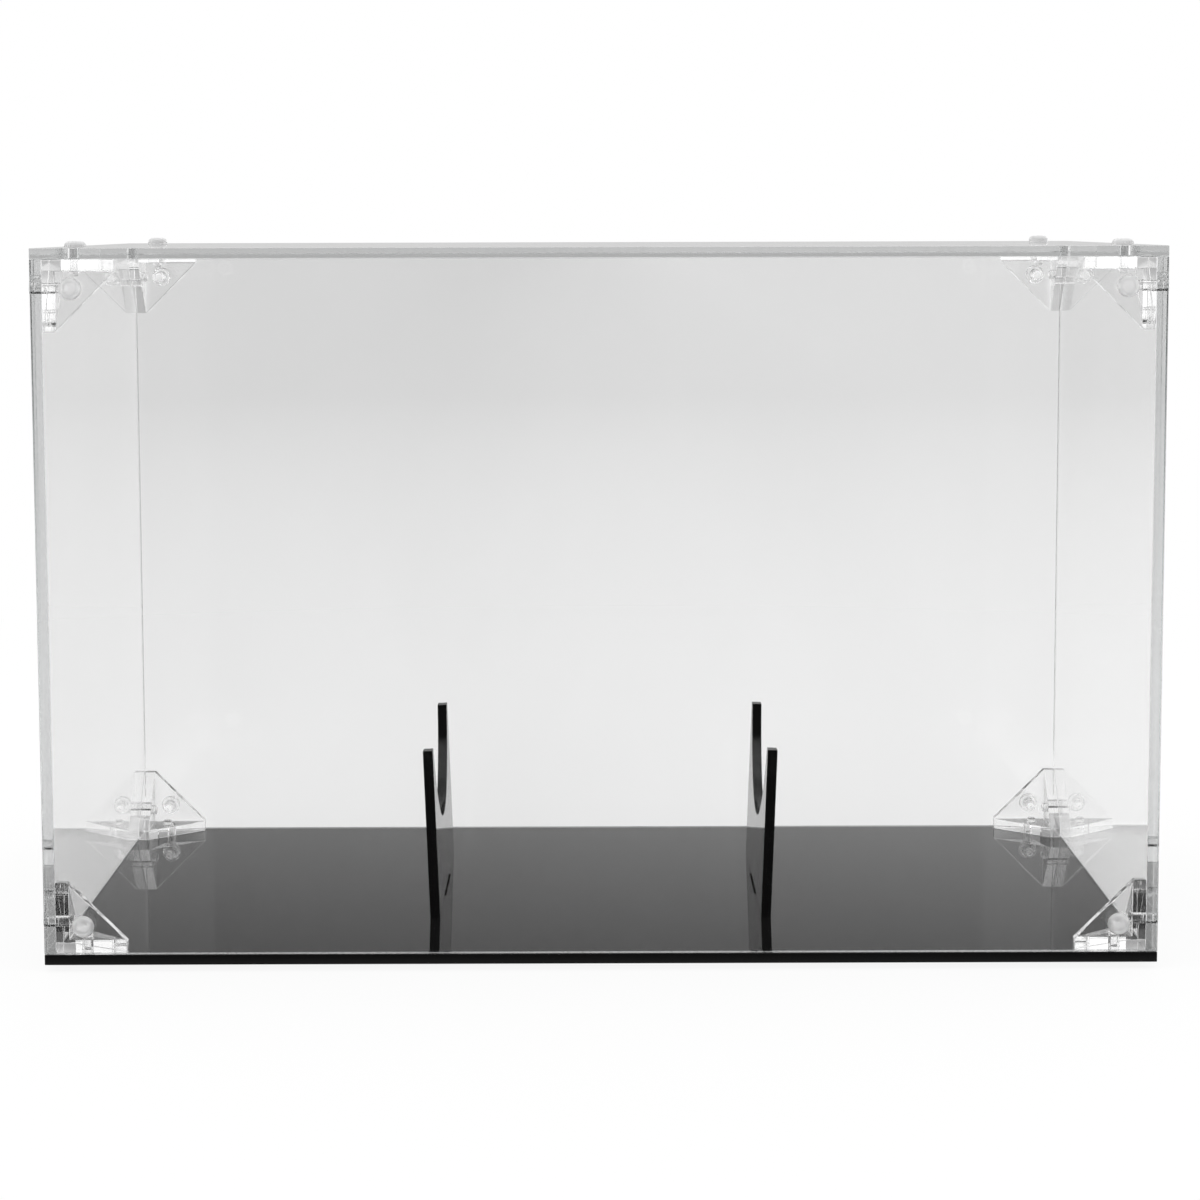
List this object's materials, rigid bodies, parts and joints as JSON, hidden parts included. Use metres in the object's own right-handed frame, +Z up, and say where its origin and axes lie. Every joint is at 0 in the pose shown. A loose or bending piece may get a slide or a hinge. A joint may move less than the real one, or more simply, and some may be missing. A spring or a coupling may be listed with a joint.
{
  "type": "football display case",
  "caption": "Clear acrylic box on a black base, held together by screwed corner brackets, with a lift-off top and notched black stands that cradle a ball.",
  "frame": {"origin": "centre of the case in plan, on the surface that it stands on, level with the undersides of the base screw heads", "axes": "+Z up; the front faces -Y; +X runs to the right along the case's length, seen from the front"},
  "size_m": [0.3238, 0.2038, 0.2088],
  "materials": {
    "clear_acrylic": "clear polished sheet",
    "black_acrylic": "black gloss sheet",
    "clear_bracket": "clear moulded",
    "clear_screw": "milky translucent"
  },
  "bodies": {
    "case": {"base_panel": "black_acrylic", "base_screws": "clear_screw", "front_panel": "clear_acrylic", "back_panel": "clear_acrylic", "left_panel": "clear_acrylic", "right_panel": "clear_acrylic", "front_screws": "clear_screw", "back_screws": "clear_screw", "left_screws": "clear_screw", "right_screws": "clear_screw", "bracket_front_left_low": "clear_bracket", "bracket_front_left_top": "clear_bracket", "bracket_back_left_low": "clear_bracket", "bracket_back_left_top": "clear_bracket", "bracket_front_right_low": "clear_bracket", "bracket_front_right_top": "clear_bracket", "bracket_back_right_low": "clear_bracket", "bracket_back_right_top": "clear_bracket"},
    "lid": {"top_panel": "clear_acrylic", "top_screws": "clear_screw"},
    "left_stand": {"left_stand": "black_acrylic"},
    "right_stand": {"right_stand": "black_acrylic"}
  },
  "joints": [
    {"name": "lid_lift", "type": "slide", "parent": "case", "child": "lid", "axis": [0, 0, 1], "range_m": [0, 0.2]},
    {"name": "left_stand_lift", "type": "slide", "parent": "case", "child": "left_stand", "axis": [-0.0366, 0, 0.9993], "range_m": [0, 0.1]},
    {"name": "right_stand_lift", "type": "slide", "parent": "case", "child": "right_stand", "axis": [0.0366, 0, 0.9993], "range_m": [0, 0.1]}
  ]
}
